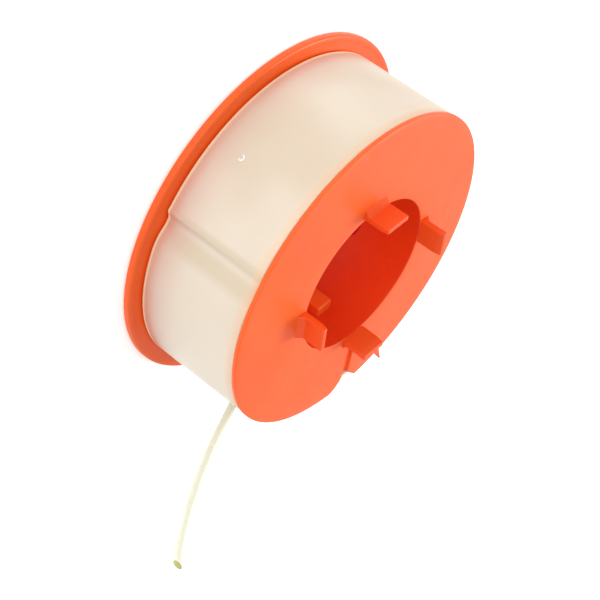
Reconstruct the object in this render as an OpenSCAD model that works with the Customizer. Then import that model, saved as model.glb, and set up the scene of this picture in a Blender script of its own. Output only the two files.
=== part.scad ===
// Line spool with two flanges, four drive tabs, wound line and a retaining sleeve.
// Millimetres, +Z up the spool axis, rear flange lying on the plane z = 0.

/* [Flanges] */
// how far the rear flange stands out past the sleeve
rear_lip = 3.7; // [1:0.1:8]
// thickness of the rear flange
rear_flange_t = 1.8; // [1.2:0.1:4]
// how far the front flange stands out past the sleeve
front_lip = 0.2; // [0:0.1:4]
// thickness of the front flange
front_flange_t = 1; // [0.8:0.1:3]
// height from the rear face to the rim of the front face
spool_w = 29.5; // [24:0.1:45]
// how far the front face rises from its rim to the bore
face_rise = 1; // [0:0.1:3]

/* [Hub] */
// diameter of the hub bore
bore_d = 38.8; // [28:0.1:50]
// wall thickness of the hub tube
hub_wall = 1.6; // [1.2:0.1:3]
// diameter of the anchor hole in the hub wall
anchor_d = 7.6; // [2:0.1:9]
// depth of the top of the anchor hole below the front rim
anchor_drop = 13.5; // [8:0.1:15]
// angle of the anchor hole about the axis
anchor_a = 118; // [100:1:130]

/* [Drive tabs] */
// number of drive tabs around the bore
tab_count = 4; // [2:1:6]
// angle of the first tab
tab_a = 53.8; // [0:0.1:90]
// width of a tab
tab_w = 6.7; // [4:0.1:10]
// height of a tab above the front face
tab_h = 6.4; // [5:0.1:10]
// thickness of a tab
tab_t = 1.6; // [1:0.1:3]
// height of the straight part of the inner face
tab_straight = 4.6; // [2:0.1:6]
// how far the tip leans outward
tab_flare = 0.4; // [0:0.1:1]
// how far the foot ramp runs out on the outer side
foot_t = 1.4; // [0.2:0.1:1.5]
// height of the foot ramp
foot_h = 1.2; // [0.5:0.1:3]

/* [Inner lugs] */
// width of a lug inside the bore
lug_w = 4.8; // [3:0.1:8]
// how far a lug stands in from the bore wall
lug_in = 2.6; // [1:0.1:4]
// depth of the lug top below the front rim
lug_drop = 7.8; // [4:0.1:14]

/* [Line notch] */
// angle of the notch in the front flange
notch_a = 55; // [0:0.5:90]
// width of the notch slot
notch_w = 2.1; // [1:0.1:3]
// width of the band left between the hub wall and the slot
notch_band = 1.6; // [1:0.1:6]
// depth of the flared mouth
mouth_depth = 3.6; // [2:0.1:7]
// rim offset of the mouth on its near side
mouth_near = 4.5; // [2:0.1:8]
// rim offset of the mouth on its far side
mouth_far = 4.4; // [3:0.1:10]
// angle of the rim barb
barb_a = 73.3; // [66:0.1:90]
// how far the barb stands out of the rim
barb_out = 6; // [1:0.1:8]
// width of the barb at the rim
barb_w = 2.4; // [1:0.1:5]
// sideways lean of the barb at its tip
barb_lean = 0.7; // [0:0.1:2]

/* [Line] */
// diameter of the line
line_d = 2; // [1.6:0.1:3]
// outer diameter of the winding
winding_d = 74.4; // [56:0.2:96]

/* [Sleeve] */
// clearance between the winding and the inside of the sleeve
sleeve_clear = 1.4; // [1.2:0.1:4]
// wall thickness of the sleeve
sleeve_t = 1.2; // [0.8:0.1:2]
// running gap between the sleeve and each flange
sleeve_gap = 0.3; // [0.2:0.05:1]
// angle of the flute in the sleeve
flute_a = 293.9; // [0:0.1:360]
// width of the flute
flute_w = 6; // [3:0.1:9]
// depth of the flute
flute_depth = 0.9; // [0.3:0.1:1.1]
// angle of the line exit
exit_a = 15.5; // [0:0.5:40]
// height of the line exit above the rear face
exit_z = 18.3; // [8:0.1:20]
// rim width of the grommet round the exit
exit_rim = 0.9; // [0.5:0.1:2]
// angle of the gate mark
gate_a = 264.8; // [0:0.1:360]
// height of the gate mark
gate_z = 9.9; // [4:0.1:22]
// diameter of the gate mark
gate_d = 1.6; // [0.8:0.1:3]

/* [Hidden] */
$fn = 96;
bore_r = bore_d / 2;
hub_r = bore_r + hub_wall;
winding_r = winding_d / 2;
sleeve_in = winding_r + sleeve_clear;
sleeve_r = sleeve_in + sleeve_t;
rear_r = sleeve_r + rear_lip;
front_r = sleeve_r + front_lip;
rim_round = rear_flange_t / 3;
face_z = spool_w + face_rise;
under_z = spool_w - front_flange_t;
hub_top = face_z - front_flange_t;
cone_r = bore_r + tab_t + foot_t + 0.5;
notch_r = hub_r + notch_band;
tab_knee = min(tab_straight, tab_h - 1);
lug_top = spool_w - lug_drop;
lug_bottom = 1;
sleeve_z0 = rear_flange_t + sleeve_gap;
sleeve_z1 = under_z - sleeve_gap;
groove_r = (pow(flute_w / 2, 2) + pow(flute_depth, 2)) / (2 * flute_depth);
groove_c = sleeve_r - flute_depth + groove_r;
winding_z0 = rear_flange_t;
winding_z1 = under_z;
turns = floor((winding_z1 - winding_z0) / line_d);
pitch = (winding_z1 - winding_z0) / turns;
exit_r = line_d / 2;
// clamp of the grommet on the line
grip = 0.2;

// points along the middle of the free line, from the sleeve wall outwards
tail_points = [
  [37.3, 10.3, 18.3], [39.9, 10.9, 18.8], [42.5, 10.2, 19.6], [45, 9.3, 20.5],
  [47.5, 8.2, 21.4], [50, 7.1, 22.4], [52.4, 6, 23.4], [54.8, 5.1, 24.5],
  [57.2, 4.1, 25.6], [59.5, 3.3, 26.7], [61.9, 2.5, 28], [64.2, 1.5, 29.2],
  [66.5, 0.7, 30.6], [68.7, -0.2, 32], [70.9, -1.1, 33.5], [73, -1.9, 35.1],
  [75.1, -2.5, 36.9]
];
// sleeve radius, exit angle and exit height that the points were laid for
route_r = 39.8;
route_a = 15.5;
route_z = 18.3;
tail_turn = exit_a - route_a;
tail_lift = exit_z - route_z;
tail_sides = 8;

orange = [1, 0.4, 0.16];
milky = [0.9, 0.82, 0.74];
pale = [0.95, 0.94, 0.86];

function unit(v) = v / norm(v);
function side(v) = unit(cross(v, [0, 0, 1]));
function turned(p, a) = [p[0] * cos(a) - p[1] * sin(a), p[0] * sin(a) + p[1] * cos(a), p[2]];
function tail_at(i) = turned(
  let (p = tail_points[i], k = sleeve_r - route_r, m = norm([p[0], p[1]]))
  [p[0] * (m + k) / m, p[1] * (m + k) / m, p[2] + tail_lift], tail_turn);
tail_last = len(tail_points) - 1;
function tail_way(i) = unit(tail_at(min(i + 1, tail_last)) - tail_at(max(i - 1, 0)));
function tail_ring(i) =
  let (w = tail_way(i), s = side(w), n = cross(s, w), p = tail_at(i))
  [for (j = [0 : tail_sides - 1])
    p + line_d / 2 * (cos(360 * j / tail_sides) * s + sin(360 * j / tail_sides) * n)];
tail_rings = [for (i = [0 : 2 : tail_last]) i];

// closed ring between two radii
module ring(r1, r0, h) {
  difference() {
    cylinder(r = r1, h = h);
    translate([0, 0, -1]) cylinder(r = r0, h = h + 2);
  }
}

module hub_tube() color(orange)
  difference() {
    translate([0, 0, rear_flange_t]) ring(hub_r, bore_r, hub_top - rear_flange_t);
    rotate([0, 0, anchor_a])
      translate([bore_r - 1, 0, spool_w - anchor_drop - anchor_d / 2])
        rotate([0, 90, 0]) cylinder(r = anchor_d / 2, h = hub_wall + 2, $fn = 48);
  }

module rear_flange() color(orange)
  rotate_extrude() {
    translate([bore_r, 0]) square([rear_r - rim_round - bore_r, rear_flange_t]);
    translate([bore_r, rim_round])
      square([rear_r - bore_r, rear_flange_t - 2 * rim_round]);
    for (z = [rim_round, rear_flange_t - rim_round])
      translate([rear_r - rim_round, z]) circle(r = rim_round, $fn = 48);
  }

// front plate, a shallow cone with its notch cut through
module front_flange() color(orange)
  difference() {
    rotate_extrude()
      polygon([
        [bore_r, hub_top], [cone_r, hub_top], [front_r, under_z],
        [front_r, spool_w - 0.25], [front_r - 0.25, spool_w],
        [cone_r, face_z], [bore_r, face_z]
      ]);
    rotate([0, 0, notch_a]) translate([0, 0, under_z - 1])
      linear_extrude(height = face_rise + front_flange_t + 2)
        polygon([
          [notch_r, -notch_w / 2], [front_r - mouth_depth, -notch_w / 2],
          [front_r - mouth_depth * 0.36, -mouth_near * 0.58],
          [front_r + 1, -mouth_near * 1.5], [front_r + 1, mouth_far * 1.22],
          [front_r - mouth_depth * 1.08, notch_w / 2], [notch_r, notch_w / 2]
        ]);
  }

module rim_barb() color(orange)
  rotate([0, 0, barb_a]) translate([0, 0, under_z])
    difference() {
      linear_extrude(height = front_flange_t - 0.1)
        polygon([
          [front_r - 1, -barb_w / 2], [front_r - 1, barb_w / 2],
          [front_r + 0.4, barb_w / 2], [front_r + barb_out, barb_lean + 0.2],
          [front_r + barb_out, barb_lean - 0.2]
        ]);
      translate([0, 0, -1]) cylinder(r = front_r, h = front_flange_t + 2);
    }

// section of one tab in the plane of the radius and the axis
module drive_tab(i) color(orange)
  rotate([0, 0, tab_a + 360 * i / tab_count])
    translate([0, tab_w / 2, face_z]) rotate([90, 0, 0])
      linear_extrude(height = tab_w)
        polygon([
          [bore_r, 0], [bore_r, tab_knee], [bore_r + tab_flare, tab_h - 0.35],
          [bore_r + tab_flare + 0.35, tab_h], [bore_r + tab_t - 0.25, tab_h],
          [bore_r + tab_t + 0.1, tab_h - 0.45], [bore_r + tab_t, foot_h],
          [bore_r + tab_t + foot_t, 0]
        ]);

// lug on the bore wall below one tab
module inner_lug(i) color(orange)
  rotate([0, 0, tab_a + 360 * i / tab_count])
    intersection() {
      translate([bore_r - lug_in, -lug_w / 2, lug_bottom])
        cube([lug_in + 1, lug_w, lug_top - lug_bottom]);
      cylinder(r = bore_r, h = spool_w);
    }

module winding() color(pale)
  rotate_extrude() {
    translate([hub_r, winding_z0])
      square([winding_r - line_d / 2 - hub_r, winding_z1 - winding_z0]);
    for (i = [0 : turns - 1])
      translate([winding_r - line_d / 2, winding_z0 + (i + 0.5) * pitch])
        circle(r = line_d / 2, $fn = 24);
  }

// outline of the sleeve wall, with its flute
module sleeve_outline(r, g) {
  difference() {
    circle(r = r, $fn = 180);
    rotate(flute_a) translate([groove_c, 0]) circle(r = g, $fn = 90);
  }
}

module sleeve() color(milky)
  difference() {
    translate([0, 0, sleeve_z0]) linear_extrude(height = sleeve_z1 - sleeve_z0)
      difference() {
        sleeve_outline(sleeve_r, groove_r);
        sleeve_outline(sleeve_in, groove_r + sleeve_t);
      }
    rotate([0, 0, exit_a]) translate([sleeve_in - 2, 0, exit_z])
      rotate([0, 90, 0]) cylinder(r = exit_r + exit_rim, h = sleeve_t + 4, $fn = 48);
  }

// soft ring in the sleeve wall that the line comes out of
module exit_grommet() color(milky)
  rotate([0, 0, exit_a])
    difference() {
      intersection() {
        translate([sleeve_in, 0, exit_z]) rotate([0, 90, 0])
          cylinder(r = exit_r + exit_rim, h = sleeve_t + 2, $fn = 48);
        difference() {
          cylinder(r = sleeve_r, h = spool_w, $fn = 180);
          translate([0, 0, -1]) cylinder(r = sleeve_in, h = spool_w + 2, $fn = 180);
        }
      }
      translate([sleeve_in - 2, 0, exit_z]) rotate([0, 90, 0])
        cylinder(r = exit_r - grip, h = sleeve_t + 4, $fn = 48);
    }

module gate_mark() color(milky)
  rotate([0, 0, gate_a])
    difference() {
      translate([sleeve_r - 0.6, 0, gate_z]) rotate([0, 90, 0])
        cylinder(r = gate_d / 2, h = 1, $fn = 48);
      translate([0, 0, -1]) cylinder(r = sleeve_r, h = spool_w + 2, $fn = 180);
    }

// free end of the line, swept along its points
module line_tail() color(pale)
  polyhedron(
    points = [for (k = tail_rings) each tail_ring(k)],
    faces = concat(
      [[for (j = [0 : tail_sides - 1]) j]],
      [for (k = [0 : len(tail_rings) - 2]) for (j = [0 : tail_sides - 1])
        let (a = k * tail_sides + j, b = k * tail_sides + (j + 1) % tail_sides)
        [a, a + tail_sides, b + tail_sides, b]],
      [[for (j = [tail_sides - 1 : -1 : 0]) (len(tail_rings) - 1) * tail_sides + j]]
    ));

hub_tube();
rear_flange();
front_flange();
rim_barb();
drive_tab(0);  // drive_tab_1
drive_tab(1);  // drive_tab_2
drive_tab(2);  // drive_tab_3
drive_tab(3);  // drive_tab_4
inner_lug(0);  // inner_lug_1
inner_lug(1);  // inner_lug_2
inner_lug(2);  // inner_lug_3
inner_lug(3);  // inner_lug_4
winding();
sleeve();
exit_grommet();
gate_mark();
line_tail();
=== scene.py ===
# %% [markdown]
# # A trimmer line spool in a milky sleeve
# The real object is a moulded orange spool of thick nylon line. A thin milky sleeve turns
# loosely round the line, which comes out through it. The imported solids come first. They are
# the frame: metres, the spool's axis on +Z, and the rear flange lying on z = 0. Every
# surface below takes its size from them.

# %% Load the frame
import bmesh
import bpy
import numpy as np
from mathutils import Matrix, Vector


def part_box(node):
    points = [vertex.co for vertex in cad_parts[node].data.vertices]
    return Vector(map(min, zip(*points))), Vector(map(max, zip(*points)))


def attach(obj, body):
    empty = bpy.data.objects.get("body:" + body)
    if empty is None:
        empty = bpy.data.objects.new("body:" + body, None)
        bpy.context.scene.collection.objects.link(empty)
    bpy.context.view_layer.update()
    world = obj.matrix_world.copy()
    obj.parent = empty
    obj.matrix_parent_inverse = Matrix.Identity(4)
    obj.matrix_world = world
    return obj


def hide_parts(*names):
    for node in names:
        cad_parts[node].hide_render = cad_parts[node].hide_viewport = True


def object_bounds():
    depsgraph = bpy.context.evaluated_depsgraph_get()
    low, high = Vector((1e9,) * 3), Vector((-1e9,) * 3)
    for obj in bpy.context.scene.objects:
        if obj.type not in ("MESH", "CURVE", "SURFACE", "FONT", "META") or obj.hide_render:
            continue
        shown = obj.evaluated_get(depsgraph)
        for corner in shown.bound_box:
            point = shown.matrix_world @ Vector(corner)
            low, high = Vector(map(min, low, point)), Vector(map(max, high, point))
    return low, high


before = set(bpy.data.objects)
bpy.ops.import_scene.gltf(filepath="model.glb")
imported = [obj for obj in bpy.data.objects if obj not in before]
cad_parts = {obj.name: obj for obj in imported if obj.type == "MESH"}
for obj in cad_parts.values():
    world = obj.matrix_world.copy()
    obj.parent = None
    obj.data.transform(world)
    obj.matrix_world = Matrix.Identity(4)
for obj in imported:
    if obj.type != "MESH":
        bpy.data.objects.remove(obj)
cad_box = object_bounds()
MM = 0.001
size_mm = [round((high - low) / MM, 1) for low, high in zip(*cad_box)]
print("the packed spool measures", size_mm, "mm")

# %% [markdown]
# ## Camera
# A camera is a place and three directions. Written as a matrix, its columns are the picture's
# right, the picture's up and the way back from the object. The lens is long, so the two
# flanges look almost equally large.

# %% Camera
CAMERA_PLACE = (0.01259, -0.33623, 0.16499)
picture_right = Vector((-0.59071, 0.31616, 0.74236)).normalized()
picture_up = Vector((-0.80688, -0.23146, -0.54348)).normalized()
way_back = picture_right.cross(picture_up)
turned = Matrix((picture_right, picture_up, way_back)).transposed().to_4x4()
camera = bpy.data.objects.new("camera", bpy.data.cameras.new("camera"))
bpy.context.collection.objects.link(camera)
camera.matrix_world = Matrix.Translation(CAMERA_PLACE) @ turned
camera.data.lens = 99.24
camera.data.sensor_width = 36.0
camera.data.clip_start = 0.01
bpy.context.scene.camera = camera
bpy.context.scene.view_settings.view_transform = "Standard"
print("the camera stands", round(camera.location.length, 3), "m from the spool")

# %% [markdown]
# ## A mesh from a grid
# Nearly every piece here is a grid of points bent into shape: a profile carried round the
# axis, along a cord or along an outline. Blender's own tools could spin and sweep them too,
# but a grid that is worked out says exactly where each point lies. One helper joins the
# grid's corners into faces, one closes the ends of a tube, and one puts points and faces
# into a mesh, turns the faces outward and reports what it made.

# %% Grid faces and new pieces
def grid_faces(stations, sides, wrap_stations=True):
    """Face (i, j) joins corner (i, j) to the next station and the next side. The sides run
    round on to their own start, and so do the stations unless told otherwise."""
    i = np.arange(stations if wrap_stations else stations - 1)
    i, j = (a.ravel() for a in np.meshgrid(i, np.arange(sides), indexing="ij"))
    onward, beside = (i + 1) % stations, (j + 1) % sides
    corners = [i * sides + j, onward * sides + j, onward * sides + beside, i * sides + beside]
    return np.stack(corners, axis=1).tolist()


def capped_faces(stations, sides):
    """The faces of a closed tube: its grid, then one flat face over the start and the end."""
    ends = [list(range(sides)), list(range((stations - 1) * sides, stations * sides))]
    return grid_faces(stations, sides, wrap_stations=False) + ends


def new_piece(name, points, faces, body, stands_for, slot, material, smooth=True):
    """Puts points and faces in a mesh object at the origin and hands it to its body."""
    mesh = bpy.data.meshes.new(name)
    mesh.from_pydata(np.reshape(points, (-1, 3)).tolist(), [], faces)
    solid = bmesh.new()
    solid.from_mesh(mesh)
    bmesh.ops.recalc_face_normals(solid, faces=solid.faces)
    open_edges = sum(not edge.is_manifold for edge in solid.edges)
    volume = solid.calc_volume()
    solid.to_mesh(mesh)
    solid.free()
    mesh.polygons.foreach_set("use_smooth", [smooth] * len(mesh.polygons))
    piece = bpy.data.objects.new(name, mesh)
    bpy.context.collection.objects.link(piece)
    mesh.materials.append(material)
    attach(piece, body)
    if stands_for:
        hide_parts(stands_for)
    print(f"{name}: {len(mesh.polygons)} faces, {volume / MM**3:.1f} cubic mm, {open_edges} open edges")
    return piece


# %% [markdown]
# ## Moulded orange plastic
# The flanges and tabs are one bright orange moulding with a satin skin. Its colour is one
# pigment, so it hardly varies; what the eye reads as plastic is a fine, uneven gloss, a very
# fine skin texture and a few pale scuffs. Object coordinates keep them at their real scale.
# The tabs take a copy of it painted a shade deeper. This is painted shade for their upright sides, which
# turn away from the light. The walls of the bore are painted deeper still, because little light reaches
# them and what does has bounced off orange plastic all round.

# %% Node helpers
def new_material(name):
    """A material with its shader, ready to be given colour, gloss and relief."""
    material = bpy.data.materials.new(name)
    material.use_nodes = True
    return material, material.node_tree, material.node_tree.nodes["Principled BSDF"]


def noise(tree, where, scale, detail=2.0, stretch=(1, 1, 1), rough=0.5):
    """Smooth random numbers from 0 to 1, with scale cells to the metre, squeezed by stretch."""
    mapping = tree.nodes.new("ShaderNodeMapping")
    mapping.inputs["Scale"].default_value = stretch
    texture = tree.nodes.new("ShaderNodeTexNoise")
    texture.inputs["Scale"].default_value = scale
    texture.inputs["Detail"].default_value = detail
    texture.inputs["Roughness"].default_value = rough
    tree.links.new(where, mapping.inputs["Vector"])
    tree.links.new(mapping.outputs["Vector"], texture.inputs["Vector"])
    return texture.outputs["Fac"]


def spread(tree, value, low, high, to_low=0.0, to_high=1.0, smooth=False):
    """Stretches low..high on to to_low..to_high and stops at both ends."""
    node = tree.nodes.new("ShaderNodeMapRange")
    node.interpolation_type = "SMOOTHSTEP" if smooth else "LINEAR"
    sockets = ("From Min", "From Max", "To Min", "To Max")
    for socket, number in zip(sockets, (low, high, to_low, to_high)):
        node.inputs[socket].default_value = number
    tree.links.new(value, node.inputs["Value"])
    return node.outputs["Result"]


def blend(tree, share, first, second):
    """Goes from the first colour to the second as share goes from 0 to 1. A colour is three
    numbers or another node's output."""
    node = tree.nodes.new("ShaderNodeMix")
    node.data_type = "RGBA"
    tree.links.new(share, node.inputs["Factor"])
    for socket, colour in ((6, first), (7, second)):
        if isinstance(colour, tuple):
            node.inputs[socket].default_value = (*colour, 1)
        else:
            tree.links.new(colour, node.inputs[socket])
    return node.outputs[2]


def times(tree, first, second):
    """The product of two node outputs."""
    node = tree.nodes.new("ShaderNodeMath")
    node.operation = "MULTIPLY"
    tree.links.new(first, node.inputs[0])
    tree.links.new(second, node.inputs[1])
    return node.outputs[0]


def relief(tree, shader, height, depth, strength):
    """Tilts the shading as if the surface rose by height times depth."""
    bump = tree.nodes.new("ShaderNodeBump")
    bump.inputs["Strength"].default_value = strength
    bump.inputs["Distance"].default_value = depth
    tree.links.new(height, bump.inputs["Height"])
    tree.links.new(bump.outputs["Normal"], shader.inputs["Normal"])


def object_place(tree):
    """Where a point of the surface lies, in metres from the spool's origin."""
    return tree.nodes.new("ShaderNodeTexCoord").outputs["Object"]


# %% Orange plastic
ORANGE = (0.91, 0.122, 0.014)
DEEP_ORANGE = (0.87, 0.104, 0.011)
# Painted shade: the tabs' copy of the orange is a shade deeper, for their upright sides turned away from
# the light.
TAB_SHADED_ORANGE = (0.88, 0.098, 0.011)
TAB_SHADED_DEEP = (0.84, 0.084, 0.009)
# Painted light and shade: the bore's copy is deeper still, since little light reaches its walls and that
# light has bounced off orange plastic.
BORE_RED = (0.80, 0.052, 0.007)
BORE_DEEP = (0.72, 0.040, 0.006)
SCUFF = (0.95, 0.32, 0.18)
SOME_SCUFFS, NO_SCUFFS = 0.68, 0.9


def orange_plastic(name, scuffs=SOME_SCUFFS, light=ORANGE, deep=DEEP_ORANGE, gloss=(0.36, 0.48)):
    """Orange with soft cloudy depth, uneven gloss, a fine skin, and pale scuffs wherever a
    fine noise is above the scuffs threshold inside the patches of a coarse one."""
    material, tree, shader = new_material(name)
    place = object_place(tree)
    cloud = noise(tree, place, 55, detail=3)
    base = blend(tree, spread(tree, cloud, 0.3, 0.7), light, deep)
    specks = spread(tree, noise(tree, place, 520, detail=4, rough=0.7), scuffs, scuffs + 0.05)
    rubbed = times(tree, specks, spread(tree, noise(tree, place, 70), 0.5, 0.6))
    tree.links.new(blend(tree, rubbed, base, SCUFF), shader.inputs["Base Color"])
    rough = spread(tree, noise(tree, place, 130, detail=4), 0.3, 0.7, *gloss)
    tree.links.new(rough, shader.inputs["Roughness"])
    shader.inputs["IOR"].default_value = 1.38
    relief(tree, shader, noise(tree, place, 2600, detail=3), depth=0.02 * MM, strength=0.35)
    return material


orange = orange_plastic("orange_moulding")
# The tabs' material is a painted-shade copy of the moulding.
shaded_orange_tab = orange_plastic("shaded_orange_tab", light=TAB_SHADED_ORANGE, deep=TAB_SHADED_DEEP)
orange_bore = orange_plastic("orange_bore", NO_SCUFFS, BORE_RED, BORE_DEEP, gloss=(0.26, 0.34))
print("orange plastic has", len(orange.node_tree.nodes), "nodes")

# %% [markdown]
# ## Nylon line
# Trimmer line is extruded nylon: pale, slightly waxy and faintly streaked along its length.
# The streaks follow the cord and not the room, so each tube carries its own coordinates at
# every point: how far along it is and how far round. The line still wound on the spool is
# seen by light that comes through the orange plastic. Its own material is tinted orange and
# glows faintly, which costs less than sending that light through the flange.

# %% Nylon
NYLON = (0.79, 0.80, 0.68)
NYLON_SHADE = (0.72, 0.73, 0.57)
CUT_NYLON = (0.52, 0.51, 0.20)
CUT_SHADE = (0.42, 0.40, 0.15)
WOUND_TINT = (0.80, 0.20, 0.07)
WOUND_GLOW = 0.45


def nylon_line(name, light=NYLON, shade=NYLON_SHADE, glow=0.0):
    """Nylon between two tones, streaked along the tube by a noise of its own coordinates. With
    a glow above 0 it also shines in its shade tone."""
    material, tree, shader = new_material(name)
    own = tree.nodes.new("ShaderNodeAttribute")
    own.attribute_name = "streak"
    streaks = noise(tree, own.outputs["Vector"], 3.0, detail=3, stretch=(14, 2.5, 1))
    base = blend(tree, spread(tree, streaks, 0.35, 0.75), light, shade)
    tree.links.new(base, shader.inputs["Base Color"])
    shader.inputs["Emission Color"].default_value = (*shade, 1)
    shader.inputs["Emission Strength"].default_value = glow
    tree.links.new(spread(tree, streaks, 0.3, 0.7, 0.35, 0.5), shader.inputs["Roughness"])
    shader.inputs["IOR"].default_value = 1.45
    shader.inputs["Subsurface Weight"].default_value = 0.25
    shader.inputs["Subsurface Radius"].default_value = (1.0, 0.9, 0.6)
    shader.inputs["Subsurface Scale"].default_value = 0.8 * MM
    relief(tree, shader, streaks, depth=0.02 * MM, strength=0.5)
    return material


def cut_nylon(name):
    """The sheared end face: duller and darker, ridged where the blade went through."""
    material, tree, shader = new_material(name)
    ridges = noise(tree, object_place(tree), 2400, detail=3, stretch=(1, 0.2, 1))
    base = blend(tree, spread(tree, ridges, 0.35, 0.7), CUT_NYLON, CUT_SHADE)
    tree.links.new(base, shader.inputs["Base Color"])
    shader.inputs["Roughness"].default_value = 0.55
    relief(tree, shader, ridges, depth=0.06 * MM, strength=0.6)
    return material


nylon, nylon_cut = nylon_line("nylon_line"), cut_nylon("cut_nylon")
print("nylon has", len(nylon.node_tree.nodes), "nodes")

# %% [markdown]
# ## The line's free end
# The line leaves through the sleeve and keeps the curl it had on the spool. Its route is a
# short list of points. A smooth curve goes through them all, and a ring carried along that
# curve makes the tube. The rings must not twist, so each takes its first direction from the
# one before it, made square to the new heading. The cutter went through at a slant, so the
# last rings lean until the end face is an oval.

# %% A tube along a path
def smooth_path(points, steps):
    """A Catmull-Rom curve: between two points, the cubic whose slope at each is half the step
    from its last neighbour to its next."""
    p = np.asarray(points, float)
    p = np.vstack([2 * p[0] - p[1], p, 2 * p[-1] - p[-2]])
    t = (np.arange(steps) / steps)[:, None]
    a, b, c, d = (p[i:len(p) - 3 + i, None, :] for i in range(4))
    square, cube = 2 * a - 5 * b + 4 * c - d, 3 * b - a - 3 * c + d
    curve = 0.5 * (2 * b + (c - a) * t + square * t**2 + cube * t**3)
    return np.vstack([curve.reshape(-1, 3), p[-2]])


def headings(path):
    """The way the path runs at each point: the step between its neighbours, over its length."""
    step = np.gradient(path, axis=0)
    return step / np.linalg.norm(step, axis=1, keepdims=True)


def tube_rings(path, radii, sides):
    """Rings square to the path: centre + radius (cos a side + sin a upward)."""
    heading = headings(path)
    side = np.empty_like(path)
    last = np.cross(heading[0], (0.0, 0.0, 1.0))
    for k, h in enumerate(heading):
        last = last - h * (last @ h)
        last = last / np.linalg.norm(last)
        side[k] = last
    upward = np.cross(heading, side)
    angle = 2 * np.pi * np.arange(sides) / sides
    sideways = np.cos(angle)[None, :, None] * side[:, None, :]
    reach = sideways + np.sin(angle)[None, :, None] * upward[:, None, :]
    return path[:, None, :] + np.reshape(radii, (-1, 1, 1)) * reach


def slanted_end(rings, path, slope, run):
    """Moves each point of the last rings back along the path: by its offset times the slope,
    less the largest such shift, growing from nothing over the run up to the end."""
    offset = rings - path[:, None, :]
    shift = offset @ slope - np.linalg.norm(offset[-1, 0]) * np.linalg.norm(slope)
    to_end = np.linalg.norm(path[-1] - path, axis=1)
    share = np.clip(1 - to_end / run, 0, 1)
    return rings + (share[:, None] * shift)[:, :, None] * headings(path)[:, None, :]


SLANT_RUN = 6 * MM


def tube_piece(name, path, radii, sides, slope=None, **rest):
    """A tube closed at both ends by one flat face. Its streak coordinates are cos a, the
    length along it in tens of mm, and sin a."""
    rings = tube_rings(path, radii, sides)
    if slope is not None:
        rings = slanted_end(rings, path, np.array(slope), SLANT_RUN)
    piece = new_piece(name, rings, capped_faces(len(path), sides), **rest)
    steps = np.linalg.norm(np.diff(path, axis=0), axis=1)
    along = np.repeat(np.concatenate([[0], np.cumsum(steps)]) / MM / 10, sides)
    angle = 2 * np.pi * np.tile(np.arange(sides) / sides, len(path))
    streak = np.stack([np.cos(angle), along, np.sin(angle)], axis=1).ravel()
    piece.data.attributes.new("streak", "FLOAT_VECTOR", "POINT").data.foreach_set("vector", streak)
    return piece


# %% The free end
LINE_R = 1.0 * MM
ROUTE_MM = [
    (37.3, 10.3, 18.3), (39.9, 10.9, 18.8), (42.5, 10.2, 19.6), (45, 9.3, 20.5),
    (47.5, 8.2, 21.4), (50, 7.1, 22.4), (52.4, 6, 23.4), (54.8, 5.1, 24.5),
    (57.2, 4.1, 25.6), (59.5, 3.3, 26.7), (61.9, 2.5, 28), (64.2, 1.5, 29.2),
    (66.5, 0.7, 30.6), (68.7, -0.2, 32), (70.9, -1.1, 33.5), (73, -1.9, 35.1),
    (75.1, -2.5, 36.9)]
STEPS_BETWEEN, LINE_SIDES = 6, 24
END_SLOPE = 0.6 * picture_right - 0.62 * way_back
CUT_EDGE = 0.06 * MM
route = smooth_path(np.array(ROUTE_MM) * MM, STEPS_BETWEEN)
line_end = tube_piece(
    "line_end", route, LINE_R, LINE_SIDES, slope=END_SLOPE,
    body="sleeve", stands_for="line_tail", slot="nylon_line", material=nylon)
line_end.data.materials.append(nylon_cut)
line_end.data.polygons[len(line_end.data.polygons) - 1].material_index = 1
chamfer = line_end.modifiers.new("cut edge", "BEVEL")
chamfer.width, chamfer.segments = CUT_EDGE, 2
chamfer.limit_method, chamfer.angle_limit = "ANGLE", np.radians(40)
route_length = np.linalg.norm(np.diff(route, axis=0), axis=1).sum()
print("the free end is", round(route_length / MM, 1), "mm long")

# %% [markdown]
# ## Pieces turned round the axis
# A turned piece is a closed profile in the plane of radius and height, swept once round. The
# rear flange is one: a flat disc whose rim is rounded and stands a touch proud of the face.
# A cylinder with a bevel would look alike, but a profile can hold the rim's small step too.

# %% Turning a profile
TURN_STEPS = 288


def turned_points(profile, steps=TURN_STEPS):
    """Point (i, k) is profile point k turned by i steps: (r cos a, r sin a, z)."""
    angle = 2 * np.pi * np.arange(steps) / steps
    r, z = np.asarray(profile, float).T
    x, y = np.cos(angle)[:, None] * r, np.sin(angle)[:, None] * r
    return np.stack([x, y, np.broadcast_to(z, x.shape)], axis=2)


def quarter(centre, radius, start, steps=6):
    """A quarter circle in the profile plane, running anticlockwise from the start angle:
    (centre + radius cos a, centre + radius sin a)."""
    angle = np.radians(start) + np.linspace(0, np.pi / 2, steps)
    return np.stack([centre[0] + radius * np.cos(angle), centre[1] + radius * np.sin(angle)], axis=1)


def joined(*parts):
    """Joins lists of profile points, and single points, end to end."""
    return np.vstack([np.reshape(part, (-1, 2)) for part in parts])


def straight(start, end, steps):
    """Evenly spaced points from start up to, and without, end: start (1 - t) + end t."""
    t = np.linspace(0, 1, steps, endpoint=False)[:, None]
    return np.asarray(start) * (1 - t) + np.asarray(end) * t


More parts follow.
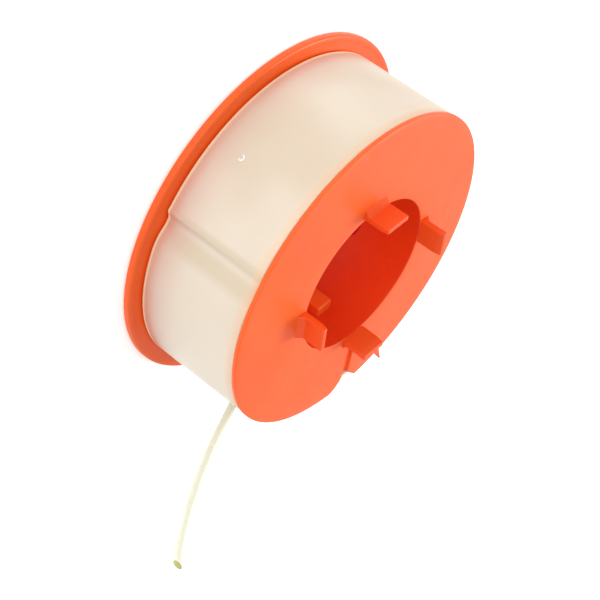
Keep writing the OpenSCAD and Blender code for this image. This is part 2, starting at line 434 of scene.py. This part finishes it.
# %% Rear flange
HUB_WALL = 1.6 * MM
HUB_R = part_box("hub_tube")[1][0]
BORE_R = HUB_R - HUB_WALL
REAR_R, _, REAR_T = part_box("rear_flange")[1]
RIM_ROUND, DISC_STEPS = 0.6 * MM, 30
LIP_W, LIP_H, LIP_BEND, LIP_FOOT = 1.3 * MM, 0.05 * MM, 0.15 * MM, 0.35 * MM
inner_face = REAR_T - LIP_H
rear_profile = joined(
    straight((BORE_R, 0), (REAR_R - RIM_ROUND, 0), DISC_STEPS),
    quarter((REAR_R - RIM_ROUND, RIM_ROUND), RIM_ROUND, -90),
    quarter((REAR_R - RIM_ROUND, REAR_T - RIM_ROUND), RIM_ROUND, 0),
    (REAR_R - LIP_W, REAR_T), (REAR_R - LIP_W - LIP_BEND, REAR_T - LIP_H * 0.5),
    straight((REAR_R - LIP_W - LIP_FOOT, inner_face), (BORE_R, inner_face), DISC_STEPS),
    (BORE_R, inner_face))
new_piece(
    "rear_plate", turned_points(rear_profile), grid_faces(TURN_STEPS, len(rear_profile)),
    "spool", "rear_flange", "orange_plastic", orange)

# %% [markdown]
# ## The front flange and its notch
# The front flange is a very shallow cone with a slot that starts beside the hub and opens at
# the rim in a flared mouth. Cutting it with a boolean would leave hard, ragged edges. Here
# the plate is laid out as spokes instead: each spoke runs from the bore to one point of the
# outline, and the outline itself dips in along the mouth and the slot.

# %% The notched outline
front_low, front_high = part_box("front_flange")
FRONT_R, FACE_Z, UNDER_Z = -front_low[0], front_high[2], front_low[2]
PLATE_T = FACE_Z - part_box("hub_tube")[1][2]
RIM_Z = UNDER_Z + PLATE_T
CONE_R = BORE_R + 3.5 * MM
NOTCH_ANGLE = np.radians(55)
NEAR_MOUTH, FAR_MOUTH = 4.5 * MM, 4.4 * MM
SLOT_HALF, SLOT_BAND = 1.05, 1.6
# Each lip point is along and across the notch in mm, then its spoke's angle in degrees.
NEAR_LIP = [[38.7, -2.6, -9.5], [37.1, -1.35, -8], [36.3, -SLOT_HALF, -7]]
FAR_LIP = [[35.9, SLOT_HALF, 7], [36.5, 1.55, 8]]
RIM_SPOKES_FROM, SLOT_SPOKES_TO = np.radians(12), 3.4
RIM_STEPS, SLOT_END_STEPS, OUTLINE_STEPS, SOFTENINGS = 900, 25, 1400, 3


def notched_outline():
    """Key points of rim, lips and slot as (along, across, spoke angle), joined by straight runs,
    spaced evenly, softened by averaging each point with its neighbours, and turned to the
    notch's angle. The slot ends beside the hub in half a circle."""
    near, far = np.arcsin(NEAR_MOUTH / FRONT_R), np.arcsin(FAR_MOUTH / FRONT_R)
    rim = np.linspace(far, 2 * np.pi - near, RIM_STEPS)
    rim_spokes = np.linspace(RIM_SPOKES_FROM, 2 * np.pi - RIM_SPOKES_FROM, RIM_STEPS)
    rim_part = np.stack([FRONT_R * np.cos(rim), FRONT_R * np.sin(rim), rim_spokes], axis=1)
    centre = HUB_R / MM + SLOT_BAND + SLOT_HALF
    turn = np.radians(np.linspace(-90, -270, SLOT_END_STEPS))
    slot_spokes = np.linspace(-SLOT_SPOKES_TO, SLOT_SPOKES_TO, SLOT_END_STEPS)
    along, across = centre + SLOT_HALF * np.cos(turn), SLOT_HALF * np.sin(turn)
    slot_end = np.stack([along, across, slot_spokes], axis=1)
    dip = np.vstack([NEAR_LIP, slot_end, FAR_LIP]) * (MM, MM, np.pi / 180) + (0, 0, 2 * np.pi)
    keys = np.vstack([rim_part, dip, rim_part[:1] + (0, 0, 2 * np.pi)])
    reach = np.concatenate([[0], np.cumsum(np.hypot(*np.diff(keys[:, :2], axis=0).T))])
    even = np.linspace(0, reach[-1], OUTLINE_STEPS, endpoint=False)
    line = np.stack([np.interp(even, reach, keys[:, k]) for k in range(3)], axis=1)
    for _ in range(SOFTENINGS):
        line[:, :2] = (np.roll(line[:, :2], 1, 0) + line[:, :2] + np.roll(line[:, :2], -1, 0)) / 3
    c, s = np.cos(NOTCH_ANGLE), np.sin(NOTCH_ANGLE)
    return line[:, :2] @ np.array([[c, s], [-s, c]]), line[:, 2] + NOTCH_ANGLE


def face_height(radius):
    """The plate's upper face: flat round the hub, then a straight fall to the rim."""
    return np.interp(radius, [CONE_R, FRONT_R], [FACE_Z, RIM_Z])


# %% [markdown]
# A spoke's section is a thin bar. Its upper side runs from a rounded edge at the bore to a
# rounded edge at the outline, and its lower side runs back to a square corner that sits on
# the hub. Each section point says how far out it lies between bore and outline, how far it
# leans over each edge, and how far it has dropped. The plate's own bore wall takes the
# bore's deeper orange as a second material, and a sharp edge keeps the two shaded apart.

# %% The front plate
EDGE = 0.24 * MM
BORE_SKIN = 0.06 * MM


def plate_points(outer, spoke, steps=16):
    """Section point = spoke start (1 - u) + spoke end u, less a over the bore edge, plus b over
    the outline, dropped by 1 - sin of the corner's angle."""
    corner = np.linspace(0, np.pi / 2, 5)
    bore_edge = [(0, np.cos(t), 0, 1 - np.sin(t)) for t in corner]
    flat = [(u, 0, 0, 0) for u in np.linspace(0, 1, steps)[1:-1]]
    rim_edge = [(1, 0, np.cos(t), 1 - np.sin(t)) for t in corner[::-1]]
    upper_side = bore_edge + flat + rim_edge
    lower_side = rim_edge[::-1] + flat[::-1] + [(0, 1, 0, 0)]
    section = np.array(upper_side + lower_side)
    u, a, b, drop = section.T[:, None, :, None]
    under = (np.arange(len(section)) >= len(upper_side))[None, :, None]
    run = np.roll(outer, -1, 0) - np.roll(outer, 1, 0)
    outward = np.stack([run[:, 1], -run[:, 0]], axis=1) / np.linalg.norm(run, axis=1, keepdims=True)
    outward, outer = outward[:, None, :], outer[:, None, :]
    inner = np.stack([np.cos(spoke), np.sin(spoke)], axis=1)[:, None, :]
    plan = inner * (BORE_R + EDGE) * (1 - u) + (outer - outward * EDGE) * u
    plan = plan - inner * EDGE * a + outward * EDGE * b
    upper = face_height(np.linalg.norm(plan, axis=2, keepdims=True))
    height = np.where(under, upper - PLATE_T + EDGE * drop, upper - EDGE * drop)
    return np.concatenate([plan, height], axis=2)


front_points = plate_points(*notched_outline())
front_plate = new_piece(
    "front_plate", front_points, grid_faces(*front_points.shape[:2]),
    "spool", "front_flange", "orange_plastic", orange)
front_plate.data.set_sharp_from_angle(angle=np.radians(40))
# The plate's bore wall takes the bore's deeper orange, which is painted light and shade.
front_plate.data.materials.append(orange_bore)
for face in front_plate.data.polygons:
    face.material_index = int(face.center.xy.length < BORE_R + BORE_SKIN)

# %% [markdown]
# ## Drive tabs and lugs
# Each tab is a short upright plate with a ramp at its outer foot and a tip that leans
# outward. A box would lose both. Its section is drawn once and extruded across its width
# instead, and a small rounded bevel takes the sharpness off every edge, as the mould does.
# The lugs below the tabs, on the wall of the bore, are made in the same way.

# %% Extruded sections
def bevelled(piece, width, segments=3, angle=28):
    """Rounds every edge sharper than the angle and shades the flats flat."""
    bevel = piece.modifiers.new("rounded edges", "BEVEL")
    bevel.width, bevel.segments = width, segments
    bevel.limit_method, bevel.angle_limit = "ANGLE", np.radians(angle)
    piece.modifiers.new("flat faces", "WEIGHTED_NORMAL").keep_sharp = True


def extruded(section, width, angle):
    """Section points (radius, z) copied to both sides of the width and turned to the angle:
    (r cos a - w sin a, r sin a + w cos a, z)."""
    across = np.array([-width / 2, width / 2])[:, None]
    r, z = np.asarray(section, float).T
    x = r * np.cos(angle) - across * np.sin(angle)
    y = r * np.sin(angle) + across * np.cos(angle)
    return np.stack([x, y, np.broadcast_to(z, x.shape)], axis=2), capped_faces(2, len(section))


TAB_W, TAB_T, TAB_H = 6.7 * MM, 1.6 * MM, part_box("drive_tab_1")[1][2] - FACE_Z
TIP_T = TAB_T + 0.1 * MM
FOOT_T, FOOT_H, KNEE, FLARE = 1.4 * MM, 1.2 * MM, 4.6 * MM, 0.4 * MM
FIRST_TAB = np.radians(53.8)
SINK = 0.15 * MM
tab_section = np.vstack([
    (0, -SINK), (0, KNEE), (FLARE, TAB_H), (TIP_T, TAB_H),
    (TAB_T, FOOT_H), (TAB_T + FOOT_T, -SINK)]) + (BORE_R, FACE_Z)
LUG_W, LUG_IN, LUG_OUT = 4.8 * MM, 2.6 * MM, 0.5 * MM
LUG_LOW, LUG_TOP = (corner[2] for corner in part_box("inner_lug_1"))
lug_section = [
    (BORE_R - LUG_IN, LUG_LOW), (BORE_R + LUG_OUT, LUG_LOW), (BORE_R + LUG_OUT, LUG_TOP),
    (BORE_R - LUG_IN, LUG_TOP)]
TAB_ROUND, LUG_ROUND = 0.3 * MM, 0.5 * MM
for number in range(1, 5):
    angle = FIRST_TAB + (number - 1) * np.pi / 2
    tab = new_piece(
        f"tab_{number}", *extruded(tab_section, TAB_W, angle),
        "spool", f"drive_tab_{number}", "orange_plastic", shaded_orange_tab)
    bevelled(tab, TAB_ROUND)
    lug = new_piece(
        f"lug_{number}", *extruded(lug_section, LUG_W, angle),
        "spool", f"inner_lug_{number}", "orange_plastic", orange)
    bevelled(lug, LUG_ROUND)

# %% [markdown]
# ## The spur on the rim
# Beside the notch a small spur stands out of the rim. It is a flattened spike: an ellipse carried outward
# that shrinks to a blunt, rounded tip. A cone would be too round and too sharp. Its material greys with
# distance from the axis, so the tip is dark grey.

# %% The spur
SPUR_ANGLE, SPUR_LEAN = np.radians(73.3), np.radians(0.9)
SPUR_HALF, SPUR_THICK, SPUR_OUT, SPUR_ROOT = 1.2 * MM, 0.42 * MM, 6.0 * MM, 0.9 * MM
SPUR_NARROWS, SPUR_THINS = 0.86, 0.6
TIP_FROM, TIP_SHARE, TIP_LEAST = 0.93, 0.07, 0.0025
GREYING_FROM, GREYING_TO = FRONT_R + 3.6 * MM, FRONT_R + 5.6 * MM
TIP_GREY = (0.25, 0.22, 0.2)
spur_middle = RIM_Z - PLATE_T / 2 - 0.02 * MM


def spur_points(stations=18, sides=20):
    """Ring point = centre + half width cos a sideways + half thickness sin a upward. Both
    shrink evenly along the spike, and the last rings close in a small round end."""
    t = np.linspace(0, 1, stations)[:, None]
    a = 2 * np.pi * np.arange(sides) / sides
    end = np.sqrt(np.clip(1 - np.clip((t - TIP_FROM) / TIP_SHARE, 0, 1) ** 2, TIP_LEAST, 1))
    half = SPUR_HALF * (1 - SPUR_NARROWS * t) * end
    thick = SPUR_THICK * (1 - SPUR_THINS * t) * end
    radius = FRONT_R - SPUR_ROOT + (SPUR_OUT + SPUR_ROOT) * t
    heading = SPUR_ANGLE + SPUR_LEAN * t
    sideways = half * np.cos(a)
    x = radius * np.cos(heading) - sideways * np.sin(heading)
    y = radius * np.sin(heading) + sideways * np.cos(heading)
    z = spur_middle + thick * np.sin(a)
    return np.stack([x, y, z], axis=2)


def grey_tipped_orange(name):
    """Orange that turns grey past a radius: the length of (x, y), stretched to 0..1."""
    material = orange_plastic(name)
    tree = material.node_tree
    shader = tree.nodes["Principled BSDF"]
    base = shader.inputs["Base Color"].links[0].from_socket
    flat = tree.nodes.new("ShaderNodeVectorMath")
    flat.operation, flat.inputs[1].default_value = "MULTIPLY", (1, 1, 0)
    tree.links.new(object_place(tree), flat.inputs[0])
    length = tree.nodes.new("ShaderNodeVectorMath")
    length.operation = "LENGTH"
    tree.links.new(flat.outputs["Vector"], length.inputs[0])
    greying = spread(tree, length.outputs["Value"], GREYING_FROM, GREYING_TO)
    tree.links.new(blend(tree, greying, base, TIP_GREY), shader.inputs["Base Color"])
    return material


spur_grid = spur_points()
new_piece(
    "rim_spur", spur_grid, capped_faces(*spur_grid.shape[:2]),
    "spool", "rim_barb", "orange_plastic", grey_tipped_orange("grey_tipped_orange"))

# %% [markdown]
# ## The wound line
# Several metres of line are wound in layers. Only the outermost layer can ever be seen, and
# then only through the slot or in the gaps beside the sleeve. It is one real helix, laid a
# line's width apart, over a plain core that stands for the layers beneath. Drawing every
# layer would cost a great many faces that nobody sees.

# %% The winding
wind_low, wind_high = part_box("winding")
WIND_R, WIND_Z0, WIND_Z1 = wind_high[0], wind_low[2], wind_high[2]
STEPS_PER_TURN, WOUND_SIDES, CORE_STEPS = 120, 12, 144
WOUND_R = LINE_R * 0.99
first_height, last_height = WIND_Z0 + LINE_R * 1.05, WIND_Z1 - LINE_R * 1.05
turns = int((WIND_Z1 - WIND_Z0) // (2 * LINE_R))
wind_angle = np.linspace(0, 2 * np.pi * (turns - 1), (turns - 1) * STEPS_PER_TURN + 1)
climb = np.linspace(first_height, last_height, len(wind_angle))
helix = np.stack([
    (WIND_R - LINE_R) * np.cos(wind_angle), (WIND_R - LINE_R) * np.sin(wind_angle), climb], axis=1)
tube_piece(
    "wound_line", helix, WOUND_R, WOUND_SIDES, body="spool", stands_for="winding",
    slot="nylon_line", material=nylon_line("wound_nylon", WOUND_TINT, WOUND_TINT, WOUND_GLOW))
CORE_IN, CORE_OUT = HUB_R + 2.5 * MM, WIND_R - 1.5 * MM
CORE_LOW, CORE_TOP = WIND_Z0 + 0.2 * MM, WIND_Z1 - 0.1 * MM
core_profile = [(CORE_IN, CORE_LOW), (CORE_OUT, CORE_LOW), (CORE_OUT, CORE_TOP), (CORE_IN, CORE_TOP)]
new_piece(
    "wound_core", turned_points(core_profile, CORE_STEPS), grid_faces(CORE_STEPS, len(core_profile)),
    "spool", None, "nylon_line", nylon_line("inner_layers", WOUND_TINT, WOUND_TINT, WOUND_GLOW),
    smooth=False)
print("the outer layer has", turns, "turns")

# %% [markdown]
# ## The milky sleeve
# The sleeve is a thin, cloudy ring that keeps the line from springing off. A shallow flute
# runs across it. Its surface is a ring whose radius is lessened by the flute's depth, which
# depends on the distance round from the flute's middle and is deepest at the rear edge. A
# bump in the material would look alike from straight on, but the flute notches the sleeve's
# outline, so it has to be in the shape. The inside follows the outside a wall's thickness in.

# %% The sleeve's shape
sleeve_low, sleeve_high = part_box("sleeve")
SLEEVE_R, SLEEVE_Z0, SLEEVE_Z1 = -sleeve_low[0], sleeve_low[2], sleeve_high[2]
WALL, NOSE, WALL_STEPS = 1.2 * MM, 0.3 * MM, 26
FLUTE_ANGLE, FLUTE_DEPTH, FRONT_SHARE = np.radians(293.9), 1.2 * MM, 0.5
# Distances round from the flute's middle in mm, and the share of the full depth at each.
FLUTE_AT = [-3.6, -2.6, -1.3, -0.6, 0.9, 3.2, 4.0, 6.0]
FLUTE_SHAPE = [0, -0.22, 0.9, 1.05, 1.0, 0.34, 0.2, 0]
NEIGHBOURS = (-0.4, -0.2, 0, 0.2, 0.4)
SLEEVE_STEPS = 720


def mm_from_flute(angle):
    """Distance round from the flute's middle: the angle between them, from minus to plus half
    a turn, times the radius, in mm."""
    return ((angle - FLUTE_ANGLE + np.pi) % (2 * np.pi) - np.pi) * SLEEVE_R / MM


def flute_depth(angle, height):
    """Depth = full depth x shape x fade. The shape is read off a few points of distance round:
    a bead, a steep wall, the floor, a long slope with a step, and out. Averaging each reading
    with its neighbours rounds it; the fade runs from the rear edge to the front."""
    shape = [np.interp(mm_from_flute(angle) + k, FLUTE_AT, FLUTE_SHAPE) for k in NEIGHBOURS]
    fade = np.interp(height, [SLEEVE_Z0, SLEEVE_Z1], [1.0, FRONT_SHARE])
    return FLUTE_DEPTH * fade * np.mean(shape, axis=0)


def sleeve_profile():
    """The wall's closed section as (offset inward, height): up the outside, along the front
    edge, down the inside and round the rear edge. Three corners are rounded by a quarter
    circle. The front outer one, close under the flange, is a small step, hollowed by one."""
    low, high, inner = SLEEVE_Z0 + NOSE, SLEEVE_Z1 - NOSE, WALL - NOSE
    return joined(
        straight((0, low), (0, high), WALL_STEPS), quarter((NOSE, high), NOSE, 0),
        quarter((inner, high), NOSE, 0)[::-1], straight((WALL, high), (WALL, low), WALL_STEPS),
        quarter((inner, low), NOSE, -90)[::-1], quarter((NOSE, low), NOSE, 180)[::-1])


def sleeve_points():
    """Ring point: radius = outside - offset - flute depth, at each angle and height."""
    offset, height = sleeve_profile().T
    angle = (2 * np.pi * np.arange(SLEEVE_STEPS) / SLEEVE_STEPS)[:, None]
    radius = SLEEVE_R - offset - flute_depth(angle, height)
    x, y = radius * np.cos(angle), radius * np.sin(angle)
    return np.stack([x, y, np.broadcast_to(height, x.shape)], axis=2)


# %% [markdown]
# ## Milky plastic
# Thin milky plastic glows. Light that has gone through the orange flange behind it tints it red close to
# the rear edge, and the cut edge itself catches the light as a thin peach line. A skin shader's
# scattering gives the glow. The tints are painted light: bands of height above the rear edge, made uneven
# by a slow noise, so they stay on the sleeve when it turns. A faint peach blush at the front edge, close
# under the front flange, is painted light too. The flute's walls are painted shade: a darker cream on
# both sides of the steep wall. That follows the flute and not the height, so the mesh carries it as a
# number of its own, called band.

# %% Milky plastic
MILK = (0.63, 0.52, 0.395)
MILK_LIGHT = (0.70, 0.62, 0.51)
FLUTE_SHADE_CREAM = (0.56, 0.455, 0.30)
PINK = (0.66, 0.42, 0.35)
ROSE = (0.70, 0.30, 0.20)
PEACH = (0.95, 0.62, 0.36)
# Distances round from the flute's middle in mm, and how much painted shade, a darker cream, falls at
# each.
FLUTE_SHADE_AT = [-4.2, -3.2, -2.0, -1.1, -0.7, -0.2, 1.0, 3.0, 5.5]
FLUTE_SHADE_SHARE = [0, 0.9, 0.9, 0.25, 0, 0.3, 0.9, 0.9, 0]


def sleeve_tints(tree, place, base):
    """Lays the sleeve's painted light and shade over its base colour. First comes a darker cream of
    painted shade by the band number. Then come painted pink and rose light near the rear edge, a faint
    painted peach glow at the front edge and a painted peach highlight on the rim at the rear, each a step
    of the height."""
    own = tree.nodes.new("ShaderNodeAttribute")
    own.attribute_name = "band"
    # Painted shade: a darker cream on both walls of the flute.
    base = blend(tree, spread(tree, own.outputs["Fac"], 0, 1, 0, 0.6), base, FLUTE_SHADE_CREAM)
    parts = tree.nodes.new("ShaderNodeSeparateXYZ")
    tree.links.new(place, parts.inputs[0])
    height = parts.outputs["Z"]
    patchy = spread(tree, noise(tree, place, 34), 0.3, 0.62, 0.4, 1.0)
    # Painted light: pink and rose near the rear edge, for light through the rear flange.
    wide = spread(tree, height, SLEEVE_Z0 - 3 * MM, SLEEVE_Z0 + 11 * MM, 1, 0, smooth=True)
    base = blend(tree, times(tree, wide, patchy), base, PINK)
    rear = spread(tree, height, SLEEVE_Z0 - 1 * MM, SLEEVE_Z0 + 4 * MM, 1, 0, smooth=True)
    base = blend(tree, times(tree, rear, patchy), base, ROSE)
    # Painted light: a faint peach glow at the front edge, close under the front flange.
    front = spread(tree, height, SLEEVE_Z1 - 3 * MM, SLEEVE_Z1, 0, 0.35, smooth=True)
    base = blend(tree, front, base, PEACH)
    # Painted highlight: a thin peach line where the rear cut edge catches the light.
    rim = spread(tree, height, SLEEVE_Z0 + 0.55 * MM, SLEEVE_Z0 + 0.8 * MM, 1, 0)
    return blend(tree, rim, base, PEACH)


def milky_plastic(name, tinted=False, tones=(MILK, MILK_LIGHT)):
    """Cloudy plastic between two tones, with the sleeve's tints over it where they're wanted."""
    material, tree, shader = new_material(name)
    place = object_place(tree)
    cloud = noise(tree, place, 26, detail=2)
    base = blend(tree, spread(tree, cloud, 0.35, 0.65, smooth=True), *tones)
    if tinted:
        base = sleeve_tints(tree, place, base)
    tree.links.new(base, shader.inputs["Base Color"])
    gloss = spread(tree, noise(tree, place, 90, detail=3), 0.3, 0.7, 0.36, 0.5)
    tree.links.new(gloss, shader.inputs["Roughness"])
    shader.inputs["IOR"].default_value = 1.49
    shader.inputs["Subsurface Weight"].default_value = 0.35
    shader.inputs["Subsurface Radius"].default_value = (1.0, 0.7, 0.5)
    shader.inputs["Subsurface Scale"].default_value = 1.5 * MM
    relief(tree, shader, noise(tree, place, 1500, detail=2), depth=0.01 * MM, strength=0.3)
    return material


sleeve_grid = sleeve_points()
sleeve = new_piece(
    "milky_sleeve", sleeve_grid, grid_faces(*sleeve_grid.shape[:2]),
    "sleeve", "sleeve", "milky_plastic", milky_plastic("milky_plastic", tinted=True))
# Each point carries its share of the flute's painted shade.
grid_angle = np.arctan2(sleeve_grid[..., 1], sleeve_grid[..., 0])
bands = np.interp(mm_from_flute(grid_angle), FLUTE_SHADE_AT, FLUTE_SHADE_SHARE).ravel()
sleeve.data.attributes.new("band", "FLOAT", "POINT").data.foreach_set("value", bands)

# %% [markdown]
# ## The line's exit and the gate mark
# Where the line comes out, the sleeve has a soft ring round it, moulded in one with it. It is
# a rounded profile turned about the line's own way out. The gate mark is the little crescent
# that the mould's gate leaves: a tapering tube bent along most of a small circle. Both are
# laid on the sleeve's curve by one helper, so neither stands off it.

# %% Small marks on the sleeve
def on_sleeve(angle, height, out, along, up):
    """A point by its distance out of the sleeve's skin, along it and up it: radius + out, at
    the angle + along over the radius, at height + up."""
    place = angle + along / SLEEVE_R
    radius = SLEEVE_R + out
    return np.stack([radius * np.cos(place), radius * np.sin(place), height + up], axis=-1)


EXIT_ANGLE, EXIT_Z, RING_STEPS = np.radians(15.5), 18.3 * MM, 48
HOLE_MM, BEAD_MM, BEAD_ROUND_MM, SKIRT_MM = 0.8, 1.35, 0.55, 2.05
BEAD_FLAT, SKIRT_LOW_MM, SUNK_MM = (1, 0.9), 0.25, 1.0
exit_profile = MM * joined(
    (HOLE_MM, -SUNK_MM), quarter((BEAD_MM, 0), BEAD_ROUND_MM, 90)[::-1] * BEAD_FLAT,
    quarter((BEAD_MM, 0), BEAD_ROUND_MM, 0)[::-1] * BEAD_FLAT,
    (SKIRT_MM, -SKIRT_LOW_MM), (SKIRT_MM, -SUNK_MM))
ring_turn = (2 * np.pi * np.arange(RING_STEPS) / RING_STEPS)[:, None]
ring_r, ring_out = exit_profile.T
ring_grid = on_sleeve(
    EXIT_ANGLE, EXIT_Z, np.broadcast_to(ring_out, (RING_STEPS, len(ring_out))),
    ring_r * np.cos(ring_turn), ring_r * np.sin(ring_turn))
new_piece(
    "exit_ring", ring_grid, grid_faces(*ring_grid.shape[:2]),
    "sleeve", "exit_grommet", "milky_plastic", milky_plastic("milky_ring"))

GATE_ANGLE, GATE_Z = np.radians(264.8), 9.9 * MM
GATE_BEND, GATE_THICK, GATE_STEPS, GATE_SIDES = 0.62 * MM, 0.24 * MM, 40, 12
GATE_TIP = 0.06
GATE_TONES = ((0.95, 0.91, 0.86), (0.98, 0.95, 0.92))
bend = np.radians(np.linspace(-60, 215, GATE_STEPS))
crescent = on_sleeve(
    GATE_ANGLE, GATE_Z, np.zeros(GATE_STEPS), GATE_BEND * np.cos(bend), GATE_BEND * np.sin(bend))
swell = np.sin(np.linspace(GATE_TIP, np.pi - GATE_TIP, GATE_STEPS))
tube_piece(
    "gate_crescent", crescent, GATE_THICK * np.sqrt(np.clip(swell, 0, 1)), GATE_SIDES,
    body="sleeve", stands_for="gate_mark", slot="milky_plastic",
    material=milky_plastic("milky_pip", tones=GATE_TONES))

# %% [markdown]
# ## The hub
# The hub tube's imported solid is already the right shape, with its smooth bore and the round anchor hole
# through its wall. It only needs the bore's deep orange, which is painted light and shade. Behind the
# hole stands a thin dark-red pocket, a sheet of painted shade, so the hole looks dark and not pale.

# %% The anchor pocket
ANCHOR_ANGLE, ANCHOR_LOW, ANCHOR_TOP = np.radians(118), RIM_Z - 21.6 * MM, RIM_Z - 13 * MM
POCKET_W, POCKET_NEAR, POCKET_FAR, POCKET_ROUND = 8.6 * MM, 0.1 * MM, 0.8 * MM, 0.1 * MM
# Painted shade: the pocket's dark red stands for the shade inside the anchor hole.
POCKET_SHADE_RED = (0.75, 0.015, 0.003)
POCKET_SHADE_DEEP = (0.65, 0.01, 0.002)
pocket_section = [
    (HUB_R + POCKET_NEAR, ANCHOR_LOW), (HUB_R + POCKET_FAR, ANCHOR_LOW),
    (HUB_R + POCKET_FAR, ANCHOR_TOP), (HUB_R + POCKET_NEAR, ANCHOR_TOP)]
pocket = new_piece(
    "anchor_shade_pocket", *extruded(pocket_section, POCKET_W, ANCHOR_ANGLE), "spool", None,
    "orange_plastic", orange_plastic("pocket_shade_red", NO_SCUFFS, POCKET_SHADE_RED, POCKET_SHADE_DEEP))
bevelled(pocket, POCKET_ROUND)

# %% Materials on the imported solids
# Only the hub tube shows. The other solids give way to the finer pieces made above.
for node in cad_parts.values():
    node.data.materials.clear()
    node.data.materials.append(orange_bore)
print("the hub tube keeps its packed shape")

# %% [markdown]
# ## Floor and light
# A plain pale floor, a white surround and two soft round lamps. The surround lights
# everything evenly, as a light tent does. The key lamp, behind the spool and above it, gives
# the tabs their soft shadows, and the front lamp brightens the side that faces the camera.
# The floor glows faintly, so it stays white where the spool shades it.

# %% Floor
FLOOR_HALF = 4.0
FLOOR_WHITE = (0.95, 0.95, 0.95)
FLOOR_CLOUD, FLOOR_GLOW = 0.985, 0.3


def matte_floor(name):
    """An even matte white with the faintest cloud in it, and a faint glow."""
    material, tree, shader = new_material(name)
    cloud = noise(tree, object_place(tree), 3)
    dimmer = tuple(FLOOR_CLOUD * part for part in FLOOR_WHITE)
    tree.links.new(blend(tree, cloud, FLOOR_WHITE, dimmer), shader.inputs["Base Color"])
    shader.inputs["Roughness"].default_value = 0.9
    shader.inputs["Emission Color"].default_value = (1, 1, 1, 1)
    shader.inputs["Emission Strength"].default_value = FLOOR_GLOW
    return material


floor_mesh = bpy.data.meshes.new("floor")
corner_signs = ((-1, -1), (1, -1), (1, 1), (-1, 1))
floor_mesh.from_pydata([(x * FLOOR_HALF, y * FLOOR_HALF, 0) for x, y in corner_signs], [], [(0, 1, 2, 3)])
floor_mesh.materials.append(matte_floor("white_floor"))
floor = bpy.data.objects.new("floor", floor_mesh)
bpy.context.collection.objects.link(floor)

# %% Lights
LOOK_AT = Vector((0, 0, 0.02))
SURROUND_LIGHT = 0.7


def soft_lamp(name, place, size, watts):
    """A round area lamp that looks at the middle of the spool."""
    data = bpy.data.lights.new(name, "AREA")
    data.shape, data.size, data.energy = "DISK", size, watts
    lamp = bpy.data.objects.new(name, data)
    bpy.context.collection.objects.link(lamp)
    lamp.location = place
    lamp.rotation_euler = (LOOK_AT - Vector(place)).to_track_quat("-Z", "Y").to_euler()


soft_lamp("key_lamp", (-0.45, 0.6, 0.85), size=0.5, watts=7.5)
soft_lamp("front_lamp", (0, -0.9, 0.45), size=0.9, watts=3.5)
surround = bpy.data.worlds.new("surround")
bpy.context.scene.world = surround
surround.use_nodes = True
surround.node_tree.nodes["Background"].inputs["Color"].default_value = (1, 1, 1, 1)
surround.node_tree.nodes["Background"].inputs["Strength"].default_value = SURROUND_LIGHT
